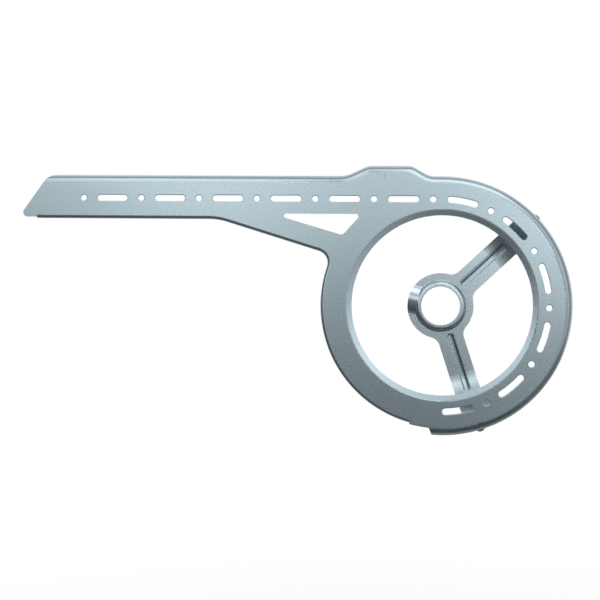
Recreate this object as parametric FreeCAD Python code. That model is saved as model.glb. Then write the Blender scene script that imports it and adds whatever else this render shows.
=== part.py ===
import FreeCAD, Part
import os
from math import asin, atan, cos, degrees, radians, sin, sqrt, tan

# Bicycle chain guard: one sheet-steel pressing with a riveted mounting bracket behind it.
# Millimetres. X points forward along the bicycle, Z up, and Y inwards to the frame, so the guard's outer
# face looks towards -Y. The origin is the centre of the bottom bracket bore, in the front plane of its
# collar. Angles are in degrees, anticlockwise from +X as seen from the outer side.

V = FreeCAD.Vector

# Guard: sheet and depth
shellSheet = 0.8            # thickness of the guard's sheet
guardStandoff = 27.2        # hub's front face to the guard's outer face
flangeDepth = 25.0          # outer face to the flange's rear edge
flangeBend = 7.5            # outer radius of the flange's bend
lipDepth = 4.6              # outer face to the short lip's rear edge
lipBend = 2.6               # outer radius of the short lip's bend

# Guard: ring, centred on the bore
holeCircle = 94.5           # radius of the ring's row of holes and slots
rowToFlange = 21.5          # row to the flange's outer surface
rowToLip = 13.9             # row to the outer face of the lip on the ring's left side
lipStop = 255.2             # angle where the ring's lip ends
rowToPlain = 15.1           # row to the plain edge below, where the chain leaves
chainExit = 264.5           # angle where the plain stretch meets the flange's cut end
flangeEndSlant = 28.0       # the flange's cut end to the radius there
rowToOpening = 14.2         # row to the edge of the big opening's lip
dishWidth = 5.0             # width of the opening's dished lip
dishSlope = 10.0            # slope of that lip
dishBend = 8.0              # outer radius of the bend at its foot

# Guard: arm
rowToArmBottom = 18.5       # row to the arm's lower edge
armReach = 384.9            # bore to the arm's lower left corner
armEndSlope = 55.2          # slope of the arm's cut end
armEndTopSlope = 26.0       # slope where the cut end runs out over the flange's bend
armEndTopDrop = 3.2         # height of that last stretch
endLowerRound = 4.0         # rounding of the cut end's lower corner
endUpperRound = 6.0         # rounding where its slope changes
plainEdgeLength = 16.4      # the arm's lower left corner to the left end of its lip
plainEdgeStep = 0.9         # how far the plain edge there stands in from the lip
gussetCorner = 202.0        # bore to where the arm's underside turns down
gussetSlope = 17.1          # slope from there to the ring
gussetBlend = 55.0          # radius of that turn
throatRadius = 11.0         # radius where the slope meets the ring

# Guard: hump
humpRise = 9.2
humpStart = 92.0            # bore to the hump's left foot
humpEnd = 6.3               # bore to its right foot
humpSlopeLeft = 25.0
humpSlopeRight = 30.0
humpFootLeft = 25.0         # radii at the feet
humpFootRight = 20.0
humpShoulder = 12.0         # radius at both shoulders

# Guard: holes, slots and triangle
rowPitch = 52.77            # hole to hole along the row; each slot lies half way between
firstHole = 325.0           # bore to the arm's first hole
rowCount = 12               # holes, and as many slots
holeDiameter = 5.5
slotLength = 27.5
slotWidth = 5.5
rowToTriangle = 13.5        # row to the triangle's upper edge
triangleLeft = 153.9        # bore to where its long edges would meet
triangleRight = 72.1        # bore to its upper right corner
triangleSlopeLower = 16.4
triangleSlopeRight = 48.0
triangleTipRound = 2.0
triangleCornerRound = 2.4
triangleHeelRound = 3.5

# Bracket
bracketSheet = 2.0
boreDiameter = 35.2         # passes the bottom bracket's cup
hubDiameter = 60.0
collarFoot = 23.2           # outer radius of the raised collar
collarRise = 3.4
collarSlope = 75.0          # slope of the collar's side
collarCrest = 3.9           # radius between its top and that side
collarCorner = 0.6          # radius at the collar's foot
upperArmAngle = 43.3
lowerArmAngle = -71.8
armWidth = 23.4
hubFillet = 10.0            # radius between hub and arms
rampStart = 73.0            # radius where the arms start to lean outwards
rampBlend = 70.0            # radius of that turn
footBend = 4.5              # outer radius of the foot's bend
footClearance = 0.1         # foot to flange
footFront = 8.2             # guard's outer face to the feet's front edge
footHeight = 8.84           # from that edge to where foot and arm would meet
footExtra = 4.5             # how much wider a foot is on the side that faces the other arm
footExtraReach = 24.8       # how far before the foot it becomes wider
footExtraRound = 4.0
grooveWidth = 4.6
grooveDepth = 1.7
grooveWall = 1.2
grooveStart = 27.0
grooveEnd = 80.5
grooveRounding = 0.47       # radius of its soft edges, as a share of its depth
ridgeAngle = 167.0          # direction of the hub's pressed ridge
ridgeWidth = 26.0           # where its sides run out in the hub
ridgeDrop = 0.2             # the collar's top to the ridge's crest
ridgeFoot = 8.0             # radius where its sides run out
ridgeOverlap = 3.7          # how far the ridge runs in under the collar

# Rivets
rivetDiameter = 4.0
rivetClearance = 0.05       # shank to hole, all round
rivetHead = 8.0
rivetHeadHeight = 2.2
rivetTail = 5.6
rivetTailHeight = 1.1
rivetEdge = 3.8             # foot's front edge to the rivets' axes

# Worked out from these
hubFront = collarRise
frontY = hubFront - guardStandoff
rearY = frontY + flangeDepth
outerRadius = holeCircle + rowToFlange
lipRadius = holeCircle + rowToLip
plainRadius = holeCircle + rowToPlain
openingRadius = holeCircle - rowToOpening
armBottom = holeCircle - rowToArmBottom
triangleTop = holeCircle - rowToTriangle
lipStart = armReach - plainEdgeLength
dishFoot = openingRadius + dishWidth
footOuter = outerRadius - shellSheet - footClearance
footInner = footOuter - bracketSheet
footExtraFrom = footInner - footExtraReach
footY = frontY + footFront
rivetY = footY + rivetEdge
grooveRound = grooveDepth * grooveRounding
ridgeStart = collarFoot - ridgeOverlap
over = 20.0                 # how far cutting shapes run past what they cut
seam = 3.0                  # how far joined pieces of sheet run into each other
tiny = 0.001                # points closer than this are one point


def polar(radius, angle, y=0.0):
    return V(radius * cos(radians(angle)), y, radius * sin(radians(angle)))


def line(a, b):
    return Part.LineSegment(a, b).toShape()


def arc(a, middle, b):
    return Part.Arc(a, middle, b).toShape()


def ringArc(radius, start, end):
    """Arc round the bore's axis from one angle to another."""
    return arc(polar(radius, start), polar(radius, (start + end) / 2), polar(radius, end))


def closed(edges):
    return Part.Wire(Part.__sortEdges__(edges))


def rounded(corners):
    """Closed wire through corners given as (point, radius)."""
    edges = []
    ends = []
    for i, (corner, radius) in enumerate(corners):
        before = (corners[i - 1][0] - corner).normalize()
        after = (corners[(i + 1) % len(corners)][0] - corner).normalize()
        if radius <= 0:
            ends.append((corner, corner))
            continue
        half = before.getAngle(after) / 2
        reach = radius / tan(half)
        middle = corner + (before + after).normalize() * (radius / sin(half) - radius)
        ends.append((corner + before * reach, corner + after * reach))
        edges.append(arc(ends[-1][0], middle, ends[-1][1]))
    for i, (start, _) in enumerate(ends):
        edges.append(line(ends[i - 1][1], start))
    return closed(edges)


def prism(wire, y0, y1):
    """Solid from a wire drawn at Y = 0, reaching from y0 to y1."""
    face = Part.Face(wire)
    face.translate(V(0, y0, 0))
    return face.extrude(V(0, y1 - y0, 0))


def roundEdges(solid, chain, y, radius):
    """Rounds those edges of the solid at height y that lie over the edges of a chain."""
    middles = [e.valueAt((e.FirstParameter + e.LastParameter) / 2) + V(0, y, 0) for e in chain]
    chosen = []
    for edge in solid.Edges:
        middle = edge.valueAt((edge.FirstParameter + edge.LastParameter) / 2)
        if any(middle.distanceToPoint(m) < tiny for m in middles):
            chosen.append(edge)
    return solid.makeFillet(radius, chosen)


def spun(wire):
    """Solid of revolution of a closed section, drawn with its radius along X, round the bore's axis."""
    return Part.Face(wire).revolve(V(0, 0, 0), V(0, -1, 0), 360)


def offsetPath(points, distance):
    """The path moved sideways, to its left, by a distance, with mitred corners."""
    normals = []
    for a, b in zip(points, points[1:]):
        run = (b - a).normalize()
        normals.append(V(-run.y, run.x, 0))
    moved = [points[0] + normals[0] * distance]
    for point, n0, n1 in zip(points[1:-1], normals, normals[1:]):
        moved.append(point + (n0 + n1) * (distance / (1 + n0.dot(n1))))
    moved.append(points[-1] + normals[-1] * distance)
    return moved


# Guard

def hump(inset):
    """The hump's outline, right to left, set in from the flange's outer surface."""
    base = outerRadius - inset
    shoulder = humpShoulder - inset
    sides = []
    for side, footX, footRadius, slope in (
        (1, -humpEnd, humpFootRight + inset, radians(humpSlopeRight)),
        (-1, -humpStart, humpFootLeft + inset, radians(humpSlopeLeft)),
    ):
        footArc = [
            V(footX - side * footRadius * sin(a), 0, base + footRadius * (1 - cos(a)))
            for a in (0, slope / 2, slope)
        ]
        rise = humpRise - (footRadius + shoulder) * (1 - cos(slope))
        slopeTop = footArc[2] + V(-side * rise / tan(slope), 0, rise)
        centre = slopeTop - V(side * sin(slope), 0, cos(slope)) * shoulder
        middle = centre + V(side * sin(slope / 2), 0, cos(slope / 2)) * shoulder
        crest = centre + V(0, 0, shoulder)
        sides.append((arc(*footArc), line(footArc[2], slopeTop), arc(slopeTop, middle, crest), crest))
    right, left = sides
    return list(right[:3]) + [line(right[3], left[3])] + list(left[2::-1])


def flanged(inset, outset):
    """Outline of the part with the deep flange: the flange's own chain, and the open sides that close it."""
    radius = outerRadius - inset
    low = holeCircle - outset
    inner = lipRadius - lipBend - seam + outset
    left = -armReach - over - outset
    start = lipStop - outset
    meet = 180 - degrees(asin(low / inner))
    chain = [ringArc(radius, start, 360), ringArc(radius, 0, 90)]
    chain.append(line(polar(radius, 90), V(-humpEnd, 0, radius)))
    chain += hump(inset)
    chain.append(line(V(-humpStart, 0, radius), V(left, 0, radius)))
    sides = [
        line(V(left, 0, radius), V(left, 0, low)),
        line(V(left, 0, low), polar(inner, meet)),
        ringArc(inner, meet, start),
        line(polar(inner, start), polar(radius, start)),
    ]
    return chain, sides


def lipped(inset, outset):
    """Outline of the part with the short lip: the arm's underside, the gusset and the ring's left side."""
    radius = lipRadius - inset
    high = holeCircle + seam + outset
    inner = dishFoot + 2 * seam - outset
    left = -armReach - over - outset
    stop = lipStop + outset
    slope = radians(gussetSlope)
    along = V(cos(slope), 0, -sin(slope))
    outward = V(-sin(slope), 0, -cos(slope))
    corner = V(-gussetCorner, 0, armBottom)
    reach = gussetBlend * tan(slope / 2)
    blendCentre = corner - V(reach, 0, gussetBlend)
    blend = gussetBlend + inset
    blendPoints = [blendCentre + V(sin(a), 0, cos(a)) * blend for a in (0, slope / 2, slope)]
    # The throat's circle touches the slope and the ring from outside
    beside = corner + outward * throatRadius
    run = beside.dot(along)
    gap = lipRadius + throatRadius
    throatCentre = beside + along * (-run - sqrt(run * run - beside.dot(beside) + gap * gap))
    throat = throatRadius + inset
    toRing = (throatCentre * -1).normalize()
    throatStart = throatCentre - outward * throat
    throatEnd = throatCentre + toRing * throat
    throatMiddle = throatCentre + (toRing - outward).normalize() * throat
    ringStart = 180 - degrees(asin(throatEnd.z / radius))
    chain = [
        line(V(left, 0, armBottom + inset), blendPoints[0]),
        arc(*blendPoints),
        line(blendPoints[2], throatStart),
        arc(throatStart, throatMiddle, throatEnd),
        arc(throatEnd, polar(radius, (ringStart + stop) / 2), polar(radius, stop)),
    ]
    begin = 90 - degrees(outset / inner)
    foot = polar(inner, begin)
    sides = [
        line(polar(radius, stop), polar(inner, stop)),
        ringArc(inner, begin, stop),
        line(foot, V(foot.x, 0, high)),
        line(V(foot.x, 0, high), V(left, 0, high)),
        line(V(left, 0, high), V(left, 0, armBottom + inset)),
    ]
    return chain, sides


def pressed(outline, bend, depth):
    """Sheet with a wall turned back along the outline's chain, and open at its other sides."""
    chain, sides = outline(0, 0)
    outside = roundEdges(prism(closed(chain + sides), frontY, frontY + depth), chain, frontY, bend)
    chain, sides = outline(shellSheet, seam)
    face = frontY + shellSheet
    inside = prism(closed(chain + sides), face, frontY + depth + over)
    inside = roundEdges(inside, chain, face, bend - shellSheet)
    return outside.cut(inside)


def dishedLip():
    """Lip of the big opening, which slopes back from the sheet."""
    slope = radians(dishSlope)
    front = [
        V(openingRadius, frontY + dishWidth * tan(slope), 0),
        V(dishFoot, frontY, 0),
        V(dishFoot + seam, frontY, 0),
    ]
    rear = offsetPath(front, shellSheet)
    corners = list(zip(front, (0, dishBend, 0))) + list(zip(rear, (0, dishBend - shellSheet, 0)))[::-1]
    return spun(rounded(corners))


def rowPoint(step):
    """Place on the row, counted in pitches from the first hole: along the arm, then round the ring."""
    run = step * rowPitch - firstHole
    if run <= 0:
        return V(run, 0, holeCircle), None
    angle = 90 - degrees(run / holeCircle)
    return polar(holeCircle, angle), angle


def roundHole(centre):
    return Part.makeCylinder(holeDiameter / 2, over, centre + V(0, frontY - over / 2, 0), V(0, 1, 0))


def slot(centre, angle):
    """Slot with round ends, straight on the arm and curved on the ring."""
    y0 = frontY - over / 2
    half = slotWidth / 2
    reach = slotLength / 2 - half
    if angle is None:
        ends = [centre + V(side * reach, 0, 0) for side in (-1, 1)]
        up = V(0, 0, half)
        edges = [
            line(ends[0] - up, ends[1] - up),
            arc(ends[1] - up, ends[1] + V(half, 0, 0), ends[1] + up),
            line(ends[1] + up, ends[0] + up),
            arc(ends[0] + up, ends[0] - V(half, 0, 0), ends[0] - up),
        ]
        return prism(closed(edges), y0, y0 + over)
    turn = degrees(reach / holeCircle)
    edges = [ringArc(holeCircle + side * half, angle - turn, angle + turn) for side in (-1, 1)]
    for side in (-1, 1):
        end = angle + side * turn
        tip = polar(holeCircle, end) + polar(side * half, end + 90)
        edges.append(arc(polar(holeCircle - half, end), tip, polar(holeCircle + half, end)))
    return prism(closed(edges), y0, y0 + over)


def triangle():
    lower = tan(radians(triangleSlopeLower))
    right = tan(radians(triangleSlopeRight))
    run = (triangleLeft - triangleRight) * right / (lower + right)
    corners = [
        (V(-triangleLeft, 0, triangleTop), triangleTipRound),
        (V(run - triangleLeft, 0, triangleTop - run * lower), triangleHeelRound),
        (V(-triangleRight, 0, triangleTop), triangleCornerRound),
    ]
    return prism(rounded(corners), frontY - over / 2, frontY + over / 2)


def armEndWaste():
    """What the cut end and the plain lower edge beside it take away from the arm."""
    plain = armBottom + plainEdgeStep
    slope = radians(armEndSlope)
    topSlope = radians(armEndTopSlope)
    corner = V(-armReach, 0, plain)
    rise = outerRadius - armEndTopDrop - plain
    kink = corner + V(rise / tan(slope), 0, rise)
    top = kink + V(cos(topSlope), 0, sin(topSlope)) * over
    left = -armReach - 3 * over
    low = armBottom - over
    corners = [
        (V(-lipStart, 0, low), 0),
        (V(-lipStart, 0, plain), plainEdgeStep / 2),
        (corner, endLowerRound),
        (kink, endUpperRound),
        (top, 0),
        (V(left, 0, top.z), 0),
        (V(left, 0, low), 0),
    ]
    return prism(rounded(corners), frontY - over, rearY + over)


def rivetPlace(angle):
    return polar(0, angle, rivetY), polar(1, angle)


def rivetHole(angle):
    base, out = rivetPlace(angle)
    return Part.makeCylinder(rivetDiameter / 2 + rivetClearance, over, base + out * (footInner - over / 2), out)


def guardShell():
    shell = pressed(flanged, flangeBend, flangeDepth)
    lip = pressed(lipped, lipBend, lipDepth)
    # Beyond the lip's left end the arm's lower edge is flat
    flatTop = armBottom + lipBend
    left = -armReach - over
    beyond = Part.makeBox(-lipStart - left, lipDepth + over, flatTop + over, V(left, frontY - over / 2, -over))
    lip = lip.cut(beyond)
    plate = Part.makeBox(-lipStart - left, shellSheet, lipBend + seam, V(left, frontY, armBottom))
    shell = shell.fuse([lip, plate])
    # The plain stretch, and the flange's slanted end
    turn = degrees(over / plainRadius)
    outward = polar(1, chainExit + flangeEndSlant)
    foot = polar(plainRadius, chainExit)
    edges = [
        ringArc(plainRadius, lipStop - turn, chainExit),
        line(foot, foot + outward * over),
        line(foot + outward * over, polar(plainRadius + over, lipStop - turn)),
        line(polar(plainRadius + over, lipStop - turn), polar(plainRadius, lipStop - turn)),
    ]
    shell = shell.cut(prism(closed(edges), frontY - over / 2, rearY + over))
    # The opening and its dished lip
    opening = Part.makeCylinder(dishFoot + seam, over, V(0, frontY - over / 2, 0), V(0, 1, 0))
    shell = shell.cut(opening).fuse(dishedLip()).removeSplitter()
    cuts = [triangle(), armEndWaste()]
    for i in range(rowCount):
        cuts.append(roundHole(rowPoint(i)[0]))
        cuts.append(slot(*rowPoint(i + 0.5)))
    for angle in (upperArmAngle, lowerArmAngle):
        cuts.append(rivetHole(angle))
    return shell.cut(cuts).removeSplitter()


# Bracket

def bracketSection(sink):
    """Section of the bracket's sheet from the bore to the feet, sunk towards the frame by a distance."""
    front = [
        V(boreDiameter / 2, 0, 0),
        V(collarFoot - collarRise / tan(radians(collarSlope)), 0, 0),
        V(collarFoot, hubFront, 0),
        V(rampStart, hubFront, 0),
        V(footInner, footY + footHeight, 0),
        V(footInner, footY, 0),
    ]
    frontRounds = [0, collarCrest, collarCorner, rampBlend, footBend - bracketSheet, 0]
    rear = offsetPath(front, bracketSheet)
    rearRounds = [0, collarCrest - bracketSheet, collarCorner + bracketSheet, rampBlend + bracketSheet, footBend, 0]
    corners = list(zip(front, frontRounds)) + list(zip(rear, rearRounds))[::-1]
    wire = rounded(corners)
    wire.translate(V(0, sink, 0))
    return wire


def bracketBlank():
    """The bracket's outline in the flat: hub and two arms, each wider at its foot on the facing side."""
    y0 = frontY - over
    y1 = hubFront + over
    blank = Part.makeCylinder(hubDiameter / 2, y1 - y0, V(0, y0, 0), V(0, 1, 0))
    for angle, side in ((upperArmAngle, -1), (lowerArmAngle, 1)):
        out = polar(1, angle)
        across = polar(side, angle + 90)
        half = armWidth / 2
        end = outerRadius + over
        corners = [
            (across * half, 0),
            (out * footExtraFrom + across * half, footExtraRound),
            (out * (footExtraFrom + footExtra) + across * (half + footExtra), footExtraRound),
            (out * end + across * (half + footExtra), 0),
            (out * end - across * half, 0),
            (across * -half, 0),
        ]
        blank = blank.fuse(prism(rounded(corners), y0, y1))
    blank = blank.removeSplitter()
    inner = []
    for edge in blank.Edges:
        if len(edge.Vertexes) != 2:
            continue
        a, b = (v.Point for v in edge.Vertexes)
        if abs(a.x - b.x) + abs(a.z - b.z) < tiny and abs(V(a.x, 0, a.z).Length - hubDiameter / 2) < tiny:
            inner.append(edge)
    return blank.makeFillet(hubFillet, inner)


def groovePrism(angle, extra):
    """Upright shape of a groove with round ends, on an arm's axis."""
    out = polar(1, angle)
    across = polar(grooveWidth / 2 + extra, angle + 90)
    half = grooveWidth / 2
    ends = [out * (grooveStart + half), out * (grooveEnd - half)]
    tips = [ends[0] - out * (half + extra), ends[1] + out * (half + extra)]
    edges = [
        line(ends[0] - across, ends[1] - across),
        arc(ends[1] - across, tips[1], ends[1] + across),
        line(ends[1] + across, ends[0] + across),
        arc(ends[0] + across, tips[0], ends[0] - across),
    ]
    return prism(closed(edges), frontY, hubFront + over)


def grooveEdges(bracket):
    """Edges round the grooves' mouths and floors, and round their backs, which the press leaves soft."""
    chosen = []
    for edge in bracket.Edges:
        middle = edge.valueAt((edge.FirstParameter + edge.LastParameter) / 2)
        start = edge.valueAt(edge.FirstParameter)
        for angle in (upperArmAngle, lowerArmAngle):
            out = polar(1, angle)
            across = polar(1, angle + 90)
            inReach = grooveStart - seam < middle.dot(out) < grooveEnd + seam
            near = max(abs(middle.dot(across)), abs(start.dot(across))) < grooveWidth / 2 + grooveWall + tiny
            if inReach and near:
                chosen.append(edge)
    return chosen


def ridgeBody(inset, rear):
    """Mound of the ridge, whose sides run out in the hub, set in by a distance and filled up to a rear plane."""
    rise = collarRise - ridgeDrop
    half = ridgeWidth / 2
    slope = 2 * atan(rise / half)
    foot = ridgeFoot + inset
    crest = half / sin(slope) - ridgeFoot - inset
    top = hubFront - rise + inset
    base = hubFront + inset
    right = [
        V(crest * sin(slope), top + crest * (1 - cos(slope)), 0),
        V(half - foot * sin(slope / 2), base - foot * (1 - cos(slope / 2)), 0),
        V(half, base, 0),
    ]
    left = [V(-p.x, p.y, 0) for p in right]
    edges = [
        arc(left[0], V(0, top, 0), right[0]),
        arc(*right),
        arc(*left),
        line(right[2], V(half, rear, 0)),
        line(V(half, rear, 0), V(-half, rear, 0)),
        line(V(-half, rear, 0), left[2]),
    ]
    body = Part.Face(closed(edges)).extrude(V(0, 0, hubDiameter / 2))
    body.rotate(V(0, 0, 0), V(0, 1, 0), 90 - ridgeAngle)
    return body


def mountingBracket():
    sheet = spun(bracketSection(0))
    blank = bracketBlank()
    bracket = sheet.common(blank)
    sunk = spun(bracketSection(grooveDepth))
    for angle in (upperArmAngle, lowerArmAngle):
        bracket = bracket.cut(groovePrism(angle, 0)).fuse(sunk.common(groovePrism(angle, grooveWall)))
    # The ridge runs from under the collar out to the hub's rim
    rim = Part.makeCylinder(hubDiameter / 2, 2 * over, V(0, -over, 0), V(0, 1, 0))
    rim = rim.cut(Part.makeCylinder(ridgeStart, 2 * over, V(0, -over, 0), V(0, 1, 0)))
    rear = hubFront + bracketSheet
    mound = ridgeBody(0, rear).common(rim)
    hollow = ridgeBody(bracketSheet, rear + bracketSheet).common(rim)
    bracket = bracket.fuse(mound).cut(hollow).removeSplitter()
    bracket = bracket.makeFillet(grooveRound, grooveEdges(bracket))
    return bracket.cut([rivetHole(angle) for angle in (upperArmAngle, lowerArmAngle)])


# Rivets

def rivet(angle):
    """Rivet with a domed head outside the flange and a flat tail inside the foot."""
    base, out = rivetPlace(angle)
    headSeat = outerRadius
    tailSeat = sqrt(footInner ** 2 - (rivetTail / 2) ** 2)
    shank = Part.makeCylinder(rivetDiameter / 2, headSeat - tailSeat, base + out * tailSeat, out)
    tail = Part.makeCylinder(rivetTail / 2, rivetTailHeight, base + out * (tailSeat - rivetTailHeight), out)
    dome = ((rivetHead / 2) ** 2 + rivetHeadHeight ** 2) / (2 * rivetHeadHeight)
    head = Part.makeSphere(dome, base + out * (headSeat + rivetHeadHeight - dome), out)
    head = head.common(Part.makeCylinder(rivetHead, rivetHead, base + out * headSeat, out))
    return tail.fuse([shank, head]).removeSplitter()


os.makedirs("parts", exist_ok=True)
pieces = {
    "guard_shell": guardShell(),
    "mounting_bracket": mountingBracket(),
    "upper_rivet": rivet(upperArmAngle),
    "lower_rivet": rivet(lowerArmAngle),
}
for name, shape in pieces.items():
    box = shape.BoundBox
    print(name, "valid", shape.isValid(), "solids", len(shape.Solids), "volume %.0f" % shape.Volume)
    print("   from %.1f %.1f %.1f to %.1f %.1f %.1f" % (box.XMin, box.YMin, box.ZMin, box.XMax, box.YMax, box.ZMax))
    if shape.ShapeType != "Solid":
        shape = shape.Solids[0]
    shape.exportStep("parts/%s.step" % name)
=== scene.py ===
import bpy
import math
import numpy as np
from mathutils import Matrix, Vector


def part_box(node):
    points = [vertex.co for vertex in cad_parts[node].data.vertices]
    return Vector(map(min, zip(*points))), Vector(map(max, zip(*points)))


# Finishes, light and camera for the chain guard. Metres, in the model's own frame: X forward, Z up,
# and the guard's outer face towards -Y.

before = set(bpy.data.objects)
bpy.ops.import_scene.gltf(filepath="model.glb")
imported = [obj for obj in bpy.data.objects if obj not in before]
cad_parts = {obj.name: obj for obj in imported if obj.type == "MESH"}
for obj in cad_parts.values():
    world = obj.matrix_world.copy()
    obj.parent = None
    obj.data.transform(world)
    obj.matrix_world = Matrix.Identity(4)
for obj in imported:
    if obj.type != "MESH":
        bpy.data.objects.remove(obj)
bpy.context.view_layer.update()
print("model loaded")


# Shader sockets that add and multiply like numbers

class Wire:
    def __init__(self, shader, socket):
        self.shader = shader
        self.socket = socket

    def __add__(self, other):
        return self.shader.maths("ADD", self, other)

    def __radd__(self, other):
        return self.shader.maths("ADD", other, self)

    def __sub__(self, other):
        return self.shader.maths("SUBTRACT", self, other)

    def __rsub__(self, other):
        return self.shader.maths("SUBTRACT", other, self)

    def __mul__(self, other):
        return self.shader.maths("MULTIPLY", self, other)

    def __rmul__(self, other):
        return self.shader.maths("MULTIPLY", other, self)

    def __truediv__(self, other):
        return self.shader.maths("DIVIDE", self, other)

    def __abs__(self):
        return self.shader.maths("ABSOLUTE", self)


class Shader:
    def __init__(self, tree):
        self.tree = tree
        tree.nodes.clear()

    # Any node, from its type, its settings, the values or links of its sockets, and the wanted output
    def node(self, kind, settings=None, sockets=None, output=0):
        made = self.tree.nodes.new(kind)
        for name, value in (settings or {}).items():
            setattr(made, name, value)
        for name, value in (sockets or {}).items():
            if isinstance(value, Wire):
                self.tree.links.new(value.socket, made.inputs[name])
            else:
                made.inputs[name].default_value = value
        return Wire(self, made.outputs[output]) if made.outputs else made

    def maths(self, operation, first, second=0.0):
        return self.node("ShaderNodeMath", {"operation": operation}, {0: first, 1: second})

    # 0 below low, 1 above high, and smooth between them
    def step(self, value, low, high):
        return self.node(
            "ShaderNodeMapRange",
            {"interpolation_type": "SMOOTHSTEP"},
            {"Value": value, "From Min": low, "From Max": high},
        )

    def place(self):
        return self.node("ShaderNodeTexCoord", output="Object")

    def split(self, vector):
        made = self.node("ShaderNodeSeparateXYZ", sockets={0: vector})
        return [Wire(self, socket) for socket in made.socket.node.outputs]

    def stretched(self, vector, scale, turn=0.0):
        sockets = {"Vector": vector, "Scale": scale, "Rotation": (0, turn, 0)}
        return self.node("ShaderNodeMapping", sockets=sockets)

    def noise(self, vector, scale, detail=2.0, roughness=0.5):
        sockets = {"Vector": vector, "Scale": scale, "Detail": detail, "Roughness": roughness}
        return self.node("ShaderNodeTexNoise", sockets=sockets)

    def cells(self, vector, scale):
        return self.node("ShaderNodeTexVoronoi", sockets={"Vector": vector, "Scale": scale}, output="Color")

    # From one colour at 0 to another at 1: a Mix node's colours are its sockets 6 and 7
    def blend(self, factor, low, high):
        return self.node("ShaderNodeMix", {"data_type": "RGBA"}, {0: factor, 6: low, 7: high}, output=2)

    def bump(self, height, distance, strength=1.0, under=None):
        sockets = {"Height": height, "Distance": distance, "Strength": strength}
        if under is not None:
            sockets["Normal"] = under
        return self.node("ShaderNodeBump", sockets=sockets)

    def finish(self, kind, surface):
        self.node(kind, sockets={"Surface": surface})


def newMaterial(name):
    material = bpy.data.materials.new(name)
    material.use_nodes = True
    return material, Shader(material.node_tree)


# The colour made lighter or darker: a drift of 0 leaves it, 0.5 adds half of it and -0.5 takes half away
def toned(shader, colour, drift):
    dark, light = [tuple(part * share for part in colour) + (1.0,) for share in (0.5, 1.5)]
    return shader.blend(drift + 0.5, dark, light)


# Guard's paint: silver-grey, satin, with fine flakes, on sheet that keeps a little of its rolling grain

paint = {
    "colour": (0.402, 0.50, 0.545),     # linear
    "metallic": 0.90,
    "roughness": 0.27,
    "cloudsPerMetre": 11.0,             # slow drift over the sheet
    "cloud": 0.02,                      # share by which it changes the tone
    "cloudRoughness": 0.02,             # and by how much the roughness
    "flakeSize": 0.00045,
    "flake": 0.006,
    "flakeRoughness": 0.01,
    "peelSize": 0.0021,                 # ripple of the sprayed coat
    "peelDepth": 0.0000003,
    "grainPerMetre": (14.0, 200.0, 900.0),  # rolling lines: along, through and across the sheet
    "grainRoughness": 0.010,
    "rimWidth": 0.0007,                 # where the punch drew the edge in, and the coat is thin
    "rimDepth": 0.00012,
    "rimShade": 0.10,
    "rimRoughness": 0.05,
    "markX": -0.0520,                   # small upright press mark on the hump
    "markZ": 0.1143,
    "markHalf": 0.0027,
    "markWidth": 0.00045,
    "markShade": 0.13,
    "markPlain": 0.6,                   # share of its length before it fades
}

row = {
    "radius": 0.0945,                   # of the row's round part, about the bore
    "pitch": 0.05277,
    "firstHole": 0.325,                 # from the bore, along the arm
    "holeRadius": 0.00275,
    "slotReach": 0.011,                 # from a slot's middle to the centre of its round end
}


# Distance to the nearest punched edge of the row. On the arm the row is the line z = radius; on the ring it
# is the circle of that radius. Along it, holes stand a pitch apart, with a slot half way between each two,
# and past the first hole there are none.
def punchedEdge(shader, x, z):
    onRing = shader.maths("GREATER_THAN", x, 0.0)
    around = shader.maths("ARCTAN2", x, z) * row["radius"]
    distance = shader.maths("SQRT", x * x + z * z)
    along = onRing * around + (1 - onRing) * x
    aside = onRing * (distance - row["radius"]) + (1 - onRing) * (z - row["radius"])
    pastFirst = shader.maths("LESS_THAN", along, -row["firstHole"] - row["pitch"] / 5)
    steps = (along + row["firstHole"]) / row["pitch"]
    toHole = abs(shader.maths("FRACT", steps + 0.5) - 0.5) * row["pitch"]
    past = shader.maths("MAXIMUM", row["pitch"] / 2 - toHole - row["slotReach"], 0.0)
    hole = shader.maths("SQRT", toHole * toHole + aside * aside)
    slot = shader.maths("SQRT", past * past + aside * aside)
    return shader.maths("MINIMUM", hole, slot) - row["holeRadius"] + pastFirst


def guardPaint():
    material, shader = newMaterial("satin silver-grey paint")
    place = shader.place()
    x, y, z = shader.split(place)
    cloud = shader.noise(place, paint["cloudsPerMetre"], 3.0) - 0.5
    flakes = shader.split(shader.cells(place, 1 / paint["flakeSize"]))[0] - 0.5
    grain = shader.noise(shader.stretched(place, paint["grainPerMetre"]), 1.0, 3.0) - 0.5
    peel = shader.noise(place, 1 / paint["peelSize"], 2.0, 0.45)
    edge = punchedEdge(shader, x, z)
    rim = 1 - shader.step(edge, 0.0, paint["rimWidth"])
    across = abs(x - paint["markX"])
    upright = abs(z - paint["markZ"])
    mark = (1 - shader.step(across, 0.0, paint["markWidth"])) * (
        1 - shader.step(upright, paint["markHalf"] * paint["markPlain"], paint["markHalf"])
    )
    drift = cloud * paint["cloud"] + flakes * paint["flake"]
    drift = drift - rim * paint["rimShade"] - mark * paint["markShade"]
    fine = grain * paint["grainRoughness"] + flakes * paint["flakeRoughness"]
    wide = cloud * paint["cloudRoughness"] + rim * paint["rimRoughness"]
    ripple = shader.bump(peel, paint["peelDepth"])
    drawn = shader.bump(1 - rim, paint["rimDepth"], under=ripple)
    pressed = shader.bump(1 - mark, paint["rimDepth"], under=drawn)
    surface = shader.node("ShaderNodeBsdfPrincipled", sockets={
        "Base Color": toned(shader, paint["colour"], drift),
        "Metallic": paint["metallic"],
        "Roughness": paint["roughness"] + fine + wide,
        "Normal": pressed,
    })
    shader.finish("ShaderNodeOutputMaterial", surface)
    return material


# Bracket's plating: zinc on rolled steel, a little brighter and greyer than the paint

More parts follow.
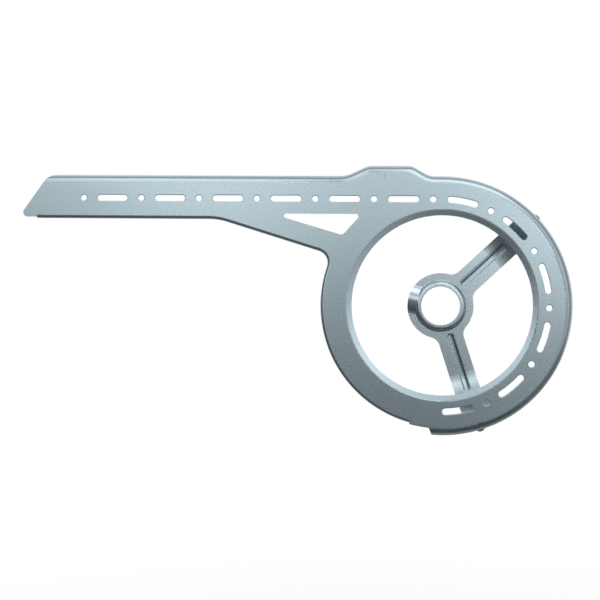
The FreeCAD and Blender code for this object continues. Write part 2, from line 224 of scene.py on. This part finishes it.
plating = {
    "colour": (0.493, 0.596, 0.648),
    "metallic": 0.97,
    "roughness": 0.27,
    "cloudSize": 0.016,
    "cloud": 0.06,
    "cloudRoughness": 0.04,
    "grainSize": 0.0006,                # rolling lines
    "grainLength": 0.012,
    "grainTurn": -0.35,                 # radians, direction in which the sheet was rolled
    "grainDepth": 0.0000008,
    "grain": 0.05,
    "grainRoughness": 0.05,
    "speckSize": 0.0011,                # crystals of the zinc
    "speck": 0.01,
    "speckRoughness": 0.01,
    "paintedShade": 0.5,                       # painted shade: how much darker one side of each arm's groove is drawn, standing in for the shade of its wall
    "paintedShadeEnds": (0.026, 0.081),        # from the bore
    "paintedShadeFade": 0.003,                 # length over which it fades at both ends
    "paintedShadeCore": 0.0008,                # half its width where it is full
    "paintedShadeReach": 0.0024,               # and where it has gone
}

grooves = [
    {"angle": 43.3, "aside": 0.0033},   # degrees of the arm; its axis to the middle of the painted shade
    {"angle": -71.8, "aside": 0.0022},
]


# Painted shade along one side of a groove, where its wall lies in shade, in the plane of the hub
def paintedGrooveShade(shader, x, z, groove):
    turn = math.radians(groove["angle"])
    along = x * math.cos(turn) + z * math.sin(turn)
    aside = abs(z * math.cos(turn) - x * math.sin(turn) - groove["aside"])
    start, end = plating["paintedShadeEnds"]
    fade = plating["paintedShadeFade"]
    length = shader.step(along, start, start + fade) * (1 - shader.step(along, end - fade, end))
    return length * (1 - shader.step(aside, plating["paintedShadeCore"], plating["paintedShadeReach"]))


def bracketPlating():
    material, shader = newMaterial("zinc plating")
    place = shader.place()
    x, y, z = shader.split(place)
    # painted shade: one wall of each groove drawn darker in the colour, standing in for its shade
    paintedShade = sum(paintedGrooveShade(shader, x, z, groove) for groove in grooves)
    cloud = shader.noise(place, 1 / plating["cloudSize"], 3.0, 0.55) - 0.5
    scale = (1 / plating["grainLength"], 1 / plating["grainSize"], 1 / plating["grainSize"])
    lines = shader.noise(shader.stretched(place, scale, plating["grainTurn"]), 1.0, 3.0, 0.6)
    grain = lines - 0.5
    specks = shader.split(shader.cells(place, 1 / plating["speckSize"]))[1] - 0.5
    drift = cloud * plating["cloud"] + grain * plating["grain"] + specks * plating["speck"]
    fine = grain * plating["grainRoughness"] + specks * plating["speckRoughness"]
    surface = shader.node("ShaderNodeBsdfPrincipled", sockets={
        "Base Color": toned(shader, plating["colour"], drift - paintedShade * plating["paintedShade"]),
        "Metallic": plating["metallic"],
        "Roughness": plating["roughness"] + fine + cloud * plating["cloudRoughness"],
        "Normal": shader.bump(lines, plating["grainDepth"]),
    })
    shader.finish("ShaderNodeOutputMaterial", surface)
    return material


# Rivets: dull steel with the fine dents that the setting tool leaves

rivetFinish = {
    "colour": (0.31, 0.345, 0.36),
    "metallic": 0.85,
    "roughness": 0.32,
    "dentSize": 0.0009,
    "dentDepth": 0.00002,
    "dent": 0.25,                       # share by which they change the tone
    "dentRoughness": 0.15,
}


def rivetSteel():
    material, shader = newMaterial("rivet steel")
    place = shader.place()
    dents = shader.noise(place, 1 / rivetFinish["dentSize"], 2.0)
    dented = dents - 0.5
    surface = shader.node("ShaderNodeBsdfPrincipled", sockets={
        "Base Color": toned(shader, rivetFinish["colour"], dented * rivetFinish["dent"]),
        "Metallic": rivetFinish["metallic"],
        "Roughness": rivetFinish["roughness"] + dented * rivetFinish["dentRoughness"],
        "Normal": shader.bump(dents, rivetFinish["dentDepth"]),
    })
    shader.finish("ShaderNodeOutputMaterial", surface)
    return material


def giveFinish(name, material):
    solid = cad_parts[name]
    solid.data.materials.clear()
    solid.data.materials.append(material)


giveFinish("guard_shell", guardPaint())
giveFinish("mounting_bracket", bracketPlating())
rivetMaterial = rivetSteel()
giveFinish("upper_rivet", rivetMaterial)
giveFinish("lower_rivet", rivetMaterial)
print("finishes given")


# Camera, as the photograph was taken

photoView = {
    "lens": 72.0,                       # millimetres
    "filmWidth": 36.0,
    "yaw": -4.09,                       # degrees
    "pitch": -1.60,
    "roll": -0.74,
    "distance": 1.0677,                 # metres along the view to the ring's centre
    "aside": 0.12617,                   # from the view's axis to that centre
    "above": -0.00466,
}


def turned(axis, angle):
    return np.array(Matrix.Rotation(math.radians(angle), 3, axis))


# A camera or a lamp at its spot, from the directions of its own X, Y and Z
def standAt(spot, axes, data):
    placed = np.eye(4)
    placed[:3, :3] = np.column_stack(axes)
    placed[:3, 3] = spot
    holder = bpy.data.objects.new(data.name, data)
    holder.matrix_world = Matrix(placed.tolist())
    bpy.context.scene.collection.objects.link(holder)
    return holder


def addCamera():
    camera = bpy.data.cameras.new("photo camera")
    camera.lens = photoView["lens"]
    camera.sensor_width = photoView["filmWidth"]
    turn = turned("Y", -photoView["roll"]) @ turned("X", photoView["pitch"]) @ turned("Z", photoView["yaw"])
    ringFront = np.array((0.0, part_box("guard_shell")[0].y, 0.0))
    spot = ringFront - turn.T @ np.array((photoView["aside"], photoView["distance"], photoView["above"]))
    bpy.context.scene.camera = standAt(spot, (turn[0], turn[2], -turn[1]), camera)


addCamera()
print("camera placed")


# Soft boxes: each a square panel that looks at one point

softBoxes = [
    {"name": "near left", "spot": (-0.32, -0.35, 0.45), "aim": (-0.25, 0, 0.08), "size": 0.40, "watts": 0.76},
    {"name": "near right", "spot": (0.12, -0.30, 0.42), "aim": (0.08, 0, 0.05), "size": 0.35, "watts": 0.69},
    {"name": "lens left", "spot": (-0.40, -1.30, 0.22), "aim": (-0.10, 0, 0.05), "size": 0.35, "watts": 0.26},
    {"name": "lens right", "spot": (0.35, -1.30, 0.22), "aim": (0.05, 0, 0.05), "size": 0.35, "watts": 0.44},
]


def addSoftBox(box):
    light = bpy.data.lights.new(box["name"], "AREA")
    light.shape = "SQUARE"
    light.size = box["size"]
    light.energy = box["watts"]
    back = np.array(box["spot"]) - np.array(box["aim"])
    back = back / np.linalg.norm(back)
    side = np.cross((0.0, 0.0, 1.0), back)
    side = side / np.linalg.norm(side)
    standAt(box["spot"], (side, np.cross(back, side), back), light).visible_camera = False


for box in softBoxes:
    addSoftBox(box)


# Surroundings. The camera sees plain white. The metal sees a long bright window a little above the lens, a
# pale wall on the right, darkness low in front, and the white backdrop behind. In degrees, "around" counts
# from the front towards the right, "up" from the horizon, and "soft" is how far a panel fades at its sides.

panels = [
    {"name": "window foot", "around": (-31, 26), "up": (4, 8), "soft": 14, "strength": 0.85},
    {"name": "window", "around": (-31, 26), "up": (8, 12), "soft": 14, "strength": 2.65},
    {"name": "window top", "around": (-31, 26), "up": (12, 18), "soft": 14, "strength": 0.9},
    {"name": "over the window", "around": (-31, 26), "up": (18, 28), "soft": 14, "strength": 0.76},
    {"name": "front high", "around": (-40, 40), "up": (28, 48), "soft": 6, "strength": 0.06},
    {"name": "horizon", "around": (-40, 10), "up": (-14, 4), "soft": 6, "strength": 0.08},
    {"name": "low right", "around": (10, 40), "up": (-14, 0), "soft": 6, "strength": 0.7},
    {"name": "ground left", "around": (-40, 0), "up": (-45, -14), "soft": 6, "strength": 0.12},
    {"name": "ground right", "around": (0, 40), "up": (-30, -14), "soft": 6, "strength": 0.3},
    {"name": "ground near", "around": (-100, 100), "up": (-91, -45), "soft": 6, "strength": 0.06},
    {"name": "wall foot", "around": (40, 100), "up": (-45, -14), "soft": 6, "strength": 0.16},
    {"name": "wall beside the window", "around": (33, 57), "up": (2, 48), "soft": 6, "strength": 0.5},
    {"name": "wall right", "around": (40, 76), "up": (-14, 48), "soft": 6, "strength": 0.66},
    {"name": "wall right behind", "around": (76, 100), "up": (-14, 48), "soft": 6, "strength": 0.2},
    {"name": "wall left", "around": (-100, -40), "up": (-45, 48), "soft": 6, "strength": 0.06},
    {"name": "ceiling", "around": (-100, 100), "up": (48, 91), "soft": 6, "strength": 0.3},
]

room = {
    "white": (1.0, 1.0, 1.0, 1.0),
    "softUp": 2.0,                      # how far a panel fades above and below
    "ahead": (94.0, 106.0),             # how far round the panels reach
    "backdropFrom": (-18.0, -10.0),     # how far up the backdrop behind the object begins
    "behindLow": 0.35,                  # light that comes from under it
    "behind": 0.80,                     # and from the backdrop itself
    "floorHeight": -0.36,
    "floorSize": 12.0,
    "floorColour": (0.86, 0.86, 0.86),
    "floorGlow": 0.93,                  # share of plain white under the object, where its shadow falls
    "shadowReach": 0.35,                # the floor shows the shadow in full out to here
    "shadowFade": 0.80,                 # and is plain white from here on
}


# 1 where the plain white background is seen: directly, through glass, and in metal where "inMetal" is 1
def seesWhite(shader, inMetal):
    directly = shader.node("ShaderNodeLightPath", output="Is Camera Ray")
    throughGlass, reflected = [
        Wire(shader, directly.socket.node.outputs[name]) for name in ("Is Transmission Ray", "Is Glossy Ray")
    ]
    return shader.maths("MAXIMUM", shader.maths("MAXIMUM", directly, throughGlass), reflected * inMetal)


# 1 between two angles, with soft edges
def band(shader, angle, ends, soft):
    rise = shader.step(angle, ends[0] - soft, ends[0] + soft)
    return rise * (1 - shader.step(angle, ends[1] - soft, ends[1] + soft))


def addRoom():
    world = bpy.data.worlds.new("room")
    world.use_nodes = True
    world.cycles.sampling_method = "MANUAL"
    world.cycles.sample_map_resolution = 2048   # fine enough for the window, so that it gives little noise
    bpy.context.scene.world = world
    shader = Shader(world.node_tree)
    x, y, z = shader.split(shader.node("ShaderNodeTexCoord", output="Generated"))
    up = shader.maths("ARCSINE", z) * math.degrees(1)
    around = shader.maths("ARCTAN2", x, 0 - y) * math.degrees(1)
    ahead = 1 - shader.step(abs(around), *room["ahead"])
    backdrop = shader.step(up, *room["backdropFrom"])
    light = (backdrop * (room["behind"] - room["behindLow"]) + room["behindLow"]) * (1 - ahead)
    for panel in panels:
        wide = band(shader, around, panel["around"], panel["soft"])
        tall = band(shader, up, panel["up"], room["softUp"])
        light = light + wide * tall * ahead * panel["strength"]
    white = seesWhite(shader, backdrop * (1 - ahead))
    strength = light * (1 - white) + white
    sky = shader.node("ShaderNodeBackground", sockets={"Color": room["white"], "Strength": strength})
    shader.finish("ShaderNodeOutputWorld", sky)


def addFloor():
    half = room["floorSize"] / 2
    corners = [(-half, -half), (half, -half), (half, half), (-half, half)]
    mesh = bpy.data.meshes.new("floor")
    mesh.from_pydata([(x, y, room["floorHeight"]) for x, y in corners], [], [(0, 1, 2, 3)])
    material, shader = newMaterial("pale floor")
    x, y, z = shader.split(shader.place())
    away = shader.maths("SQRT", x * x + y * y)
    far = shader.step(away, room["shadowReach"], room["shadowFade"])
    matte = shader.node("ShaderNodeBsdfDiffuse", sockets={"Color": room["floorColour"] + (1.0,)})
    white = shader.node("ShaderNodeEmission", sockets={"Color": room["white"], "Strength": 1.0})
    share = far * (1 - room["floorGlow"]) + room["floorGlow"]
    mixed = shader.node("ShaderNodeMixShader", sockets={0: share * seesWhite(shader, 0), 1: matte, 2: white})
    shader.finish("ShaderNodeOutputMaterial", mixed)
    material.cycles.emission_sampling = "NONE"  # its white is only for the eye and lights nothing
    mesh.materials.append(material)
    floor = bpy.data.objects.new("floor", mesh)
    floor.visible_glossy = False                # metal sees the low panels in its place
    bpy.context.scene.collection.objects.link(floor)


addRoom()
addFloor()
print("light and room set")

bpy.context.scene.view_settings.view_transform = "Standard"
